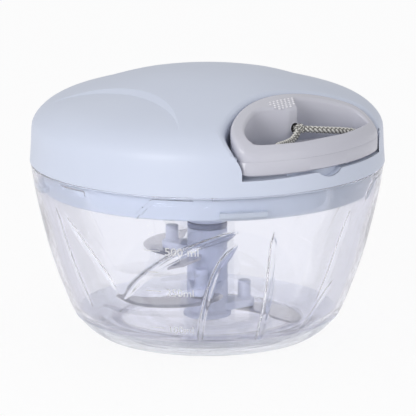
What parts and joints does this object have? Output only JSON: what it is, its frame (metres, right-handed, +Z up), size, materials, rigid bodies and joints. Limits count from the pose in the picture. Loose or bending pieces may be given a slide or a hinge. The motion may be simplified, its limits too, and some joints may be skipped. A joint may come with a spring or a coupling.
{
  "type": "pull cord food chopper",
  "caption": "Hand food chopper: clear bowl with a bladed rotor under a domed twist-lock lid, whose handle pulls a cord off a spring-wound spool.",
  "frame": {"origin": "centre of the base ring's underside, on the surface that the chopper stands on", "axes": "+Z up along the rotor's axis; the pull handle is drawn out towards -Y; +X to the right of the handle seen from above with the handle at the bottom"},
  "size_m": [0.125, 0.125, 0.094],
  "materials": {
    "clear_plastic": "clear, polished",
    "lid_plastic": "satin pale blue-grey",
    "handle_plastic": "satin light grey",
    "rotor_plastic": "satin blue-grey",
    "inner_plastic": "moulded, dull",
    "polished_steel": "polished stainless",
    "spring_steel": "blued strip",
    "cord_braid": "braided polyester, flecked white and dark grey",
    "seal_silicone": "translucent soft",
    "base_silicone": "translucent pale blue, soft"
  },
  "bodies": {
    "bowl": {"bowl": "clear_plastic", "anti_slip_base": "base_silicone", "pivot_pin": "polished_steel"},
    "rotor": {"rotor_column": "rotor_plastic", "rotor_collar": "rotor_plastic", "upper_blade": "polished_steel", "middle_blade": "polished_steel", "lower_blade": "polished_steel", "dagger_blade": "polished_steel"},
    "seal": {"lid_seal": "seal_silicone"},
    "lid": {"lid_shell": "lid_plastic", "lid_base": "lid_plastic", "cord_eyelet": "polished_steel", "axle_pin": "polished_steel", "housing_screw_1": "polished_steel", "housing_screw_2": "polished_steel", "housing_screw_3": "polished_steel", "housing_screw_4": "polished_steel"},
    "clutch": {"drive_socket": "rotor_plastic", "clutch_cup": "inner_plastic"},
    "spool": {"cord_spool": "inner_plastic", "cord_winding": "cord_braid", "recoil_spring": "spring_steel", "spring_cover": "inner_plastic"},
    "pawl_1": {"clutch_pawl_1": "inner_plastic"},
    "pawl_2": {"clutch_pawl_2": "inner_plastic"},
    "handle": {"pull_handle_top": "handle_plastic", "pull_handle_bottom": "handle_plastic", "pull_cord": "cord_braid", "cord_knot": "cord_braid", "cord_strand_left": "cord_braid", "cord_strand_right": "cord_braid"}
  },
  "joints": [
    {"name": "lid_lift", "type": "slide", "parent": "bowl", "child": "seal", "axis": [0, 0, 1], "range_m": [0, 0.05]},
    {"name": "lid_twist", "type": "hinge", "parent": "seal", "child": "lid", "pos_m": [0, 0, 0.062], "axis": [0, 0, 1], "range_deg": [-22, 0]},
    {"name": "handle_pull", "type": "slide", "parent": "lid", "child": "handle", "axis": [0, -1, 0], "range_m": [0, 0.3], "stiffness_N_per_m": 10, "springref_m": -0.1, "deforming": ["pull_cord"]},
    {"name": "spool_spin", "type": "hinge", "parent": "lid", "child": "spool", "pos_m": [0, 0, 0.0797], "axis": [0, 0, 1], "continuous": true},
    {"name": "clutch_spin", "type": "hinge", "parent": "lid", "child": "clutch", "pos_m": [0, 0, 0.066], "axis": [0, 0, 1], "continuous": true},
    {"name": "rotor_spin", "type": "hinge", "parent": "bowl", "child": "rotor", "pos_m": [0, 0, 0.01], "axis": [0, 0, 1], "continuous": true},
    {"name": "pawl_swing_1", "type": "hinge", "parent": "spool", "child": "pawl_1", "pos_m": [0.00818, 0.00737, 0.0733], "axis": [0, 0, 1], "range_deg": [-14, 0], "stiffness_Nm_per_rad": 0.01},
    {"name": "pawl_swing_2", "type": "hinge", "parent": "spool", "child": "pawl_2", "pos_m": [-0.00818, -0.00737, 0.0733], "axis": [0, 0, 1], "range_deg": [-14, 0], "stiffness_Nm_per_rad": 0.01}
  ],
  "couplings": [
    {"joint": "spool_spin", "follows": "handle_pull", "rad_per_m": -46.9},
    {"joint": "clutch_spin", "follows": "handle_pull", "rad_per_m": -46.9},
    {"joint": "rotor_spin", "follows": "handle_pull", "rad_per_m": -46.9}
  ]
}
